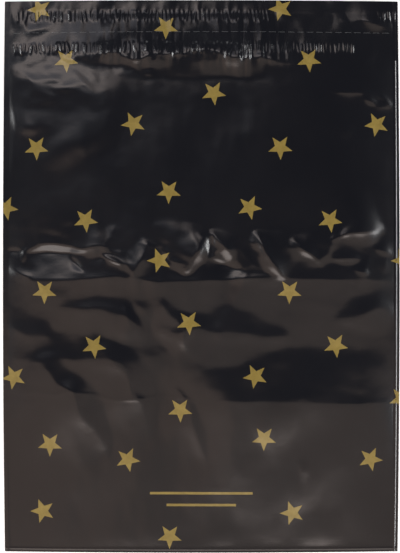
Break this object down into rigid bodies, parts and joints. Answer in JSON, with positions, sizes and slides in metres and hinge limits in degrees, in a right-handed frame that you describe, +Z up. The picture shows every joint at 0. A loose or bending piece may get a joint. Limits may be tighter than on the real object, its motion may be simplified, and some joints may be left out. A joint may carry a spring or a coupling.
{
  "type": "poly mailer bag",
  "caption": "Flat black plastic film mailing bag with a gold star print, a perforated flap and peel-off closing strips.",
  "frame": {"origin": "on the table, under the middle of the bag's outline", "axes": "+X to the right of the printed face, +Y towards the closing flap, +Z up out of the printed face"},
  "size_m": [0.2526, 0.3518, 0.0092],
  "materials": {
    "black_film": "glossy black polyethylene film",
    "gold_ink": "satin gold print",
    "hot_melt": "tacky clear adhesive",
    "release_liner": "milky release film"
  },
  "bodies": {
    "root": {"back_sheet": "black_film", "closing_adhesive": "hot_melt", "closing_liner": "release_liner", "front_sheet": "black_film", "long_rule_print": "gold_ink", "return_adhesive": "hot_melt", "return_liner": "release_liner", "short_rule_print": "gold_ink", "star_1_a_3": "gold_ink", "star_1_a_4": "gold_ink", "star_1_b_3": "gold_ink", "star_1_c_3": "gold_ink", "star_1_c_4": "gold_ink", "star_1_d_3": "gold_ink", "star_1_e_3": "gold_ink", "star_1_e_4": "gold_ink", "star_1_f_2": "gold_ink", "star_1_f_3": "gold_ink", "star_1_g_3": "gold_ink", "star_1_h_2": "gold_ink", "star_1_h_3": "gold_ink", "star_1_i_3": "gold_ink", "star_1_i_4": "gold_ink", "star_2_a_3": "gold_ink", "star_2_a_4": "gold_ink", "star_2_b_2": "gold_ink", "star_2_b_3": "gold_ink", "star_2_c_3": "gold_ink", "star_2_d_2": "gold_ink", "star_2_d_3": "gold_ink", "star_2_e_2": "gold_ink", "star_2_e_3": "gold_ink", "star_2_f_2": "gold_ink", "star_2_f_3": "gold_ink", "star_2_g_2": "gold_ink", "star_2_g_3": "gold_ink", "star_2_h_2": "gold_ink", "star_2_h_3": "gold_ink", "star_3_a_2": "gold_ink", "star_3_a_3": "gold_ink", "star_3_b_2": "gold_ink"}
  },
  "joints": []
}
